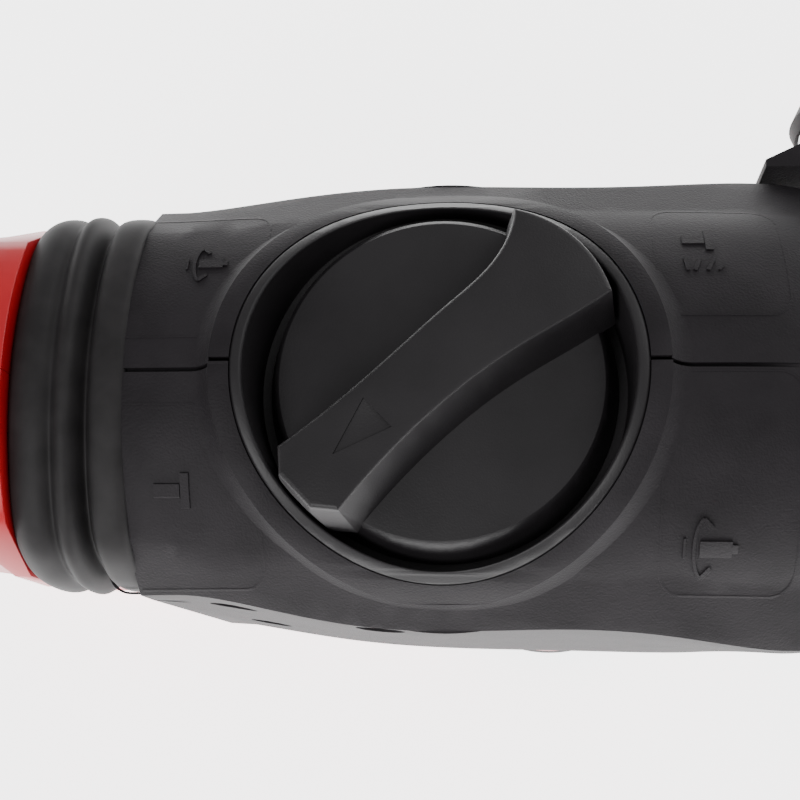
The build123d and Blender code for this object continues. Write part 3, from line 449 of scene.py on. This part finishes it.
def addRaised(name, ribbons):
    points, faces = [], []
    for ribbonPoints, ribbonFaces in ribbons:
        faces += [[i + len(points) for i in face] for face in ribbonFaces]
        points += ribbonPoints
    settle(addMesh(name, points, faces), "root", nylon, 40)


def addSign(name, sign):
    sx, sy = sign["spot"]
    ribbons = []
    for start, end, wide in sign["bars"]:
        path = [(sx + x, sy + y) for x, y in linePath(start, end)]
        ribbons.append(ribbon(path, wide, signSet["high"]))
    for bow in sign["bows"]:
        ribbons.append(ribbon([(sx + x, sy + y) for x, y in bow], signSet["bow"], signSet["high"]))
    addRaised(name, ribbons)


def addFrameLine(name, left, right, low, high):
    r = lineSet["round"]
    corners = ((right - r, high - r, 0), (left + r, high - r, 90), (left + r, low + r, 180),
               (right - r, low + r, 270))
    path = []
    for cx, cy, turn in corners:
        path += arcPath(cx, cy, r, turn, turn + 90)
    full = []
    for a, b in zip(path, path[1:] + path[:1]):
        parts = max(1, round(math.dist(a, b) / lineSet["step"]))
        full += [[p + (q - p) * k / parts for p, q in zip(a, b)] for k in range(parts)]
    full = [p for p in full if math.hypot(*p) > lineSet["offDial"]]
    addRaised(name, [ribbon(full, lineSet["wide"], lineSet["high"])])


for name, sign in signs.items():
    addSign(name, sign)
for name, edges in frameLines.items():
    addFrameLine(name, *edges)


# fillet that carries the collar down on to the casing
filletSet = {"outer": 43.0, "inner": 38.9, "crown": 44.0, "crownBase": 4.0, "steps": 72, "halfGap": 0.35,
             "sunk": 0.05, "under": 1.5, "least": 0.2}
# share of the way in, and share of the way up
filletShares = ((0.0, 0.0), (0.2, 0.04), (0.4, 0.14), (0.6, 0.32), (0.8, 0.6), (0.93, 0.85), (1.0, 0.97))


def addCollarFillet(first, last, name):
    count = filletSet["steps"]
    points, faces = [], []
    for k in range(count + 1):
        angle = math.radians(first + (last - first) * k / count)
        c, n = math.cos(angle), math.sin(angle)
        low = skinHeight(dialX / mm + filletSet["outer"] * c, filletSet["outer"] * n)
        rimY = filletSet["inner"] * n
        high = filletSet["crownBase"] + math.sqrt(filletSet["crown"] ** 2 - rimY ** 2)
        high = max(high, low + filletSet["least"])
        for share, lift in filletShares:
            r = filletSet["outer"] + (filletSet["inner"] - filletSet["outer"]) * share
            points.append((dialX / mm + r * c, r * n, low - filletSet["sunk"] + (high - low) * lift))
        for r in (filletSet["inner"], filletSet["outer"]):
            points.append((dialX / mm + r * c, r * n, low - filletSet["under"]))
    wide = len(filletShares) + 2
    for k in range(count):
        for j in range(wide):
            other = (j + 1) % wide
            faces.append((k * wide + j, (k + 1) * wide + j, (k + 1) * wide + other, k * wide + other))
    faces.append(tuple(range(wide)))
    faces.append(tuple(count * wide + j for j in reversed(range(wide))))
    addRaised(name, [(points, faces)])


edge = math.degrees(filletSet["halfGap"] / filletSet["inner"])
addCollarFillet(edge, 180 - edge, "collarFilletLeft")
addCollarFillet(180 + edge, 360 - edge, "collarFilletRight")
print("signs raised")


# floor, backdrop and light
stageSet = {"floorWide": 60.0, "under": 0.0002, "sky": 0.45, "glow": 3.6}
lamps = {"key": {"place": (-0.30, -0.55, 0.75), "power": 6.0, "size": 0.35},
         "fill": {"place": (0.55, 0.5, 0.7), "power": 3.0, "size": 0.7}}


def addStage():
    level = cadBox[0][2] - stageSet["under"]
    bpy.ops.mesh.primitive_plane_add(size=stageSet["floorWide"], location=(dialX, 0, level))
    floor = bpy.context.object
    floor.name = "floor"
    material, tree, surface, spot = startMaterial("paperSeamlessMatte", 0.9)
    mottled(tree, surface, spot, "f7f7f7", "fdfdfd", 400)
    surface.inputs["Emission Color"].default_value = (1, 1, 1, 1)
    surface.inputs["Emission Strength"].default_value = stageSet["glow"]
    wear(floor, material)
    world = bpy.context.scene.world or bpy.data.worlds.new("studio")
    bpy.context.scene.world = world
    world.use_nodes = True
    sky = world.node_tree.nodes["Background"]
    sky.inputs["Color"].default_value = (1, 1, 1, 1)
    sky.inputs["Strength"].default_value = stageSet["sky"]


def addLamp(name, place, power, size):
    spot = Vector(place) + Vector((dialX, 0, 0))
    bpy.ops.object.light_add(type="AREA", location=spot)
    lamp = bpy.context.object
    lamp.name = name
    lamp.data.energy = power
    lamp.data.size = size
    lamp.rotation_euler = (Vector((dialX, 0, 0)) - spot).to_track_quat("-Z", "Y").to_euler()


addStage()
for name, lamp in lamps.items():
    addLamp(name, **lamp)
print("stage lit")
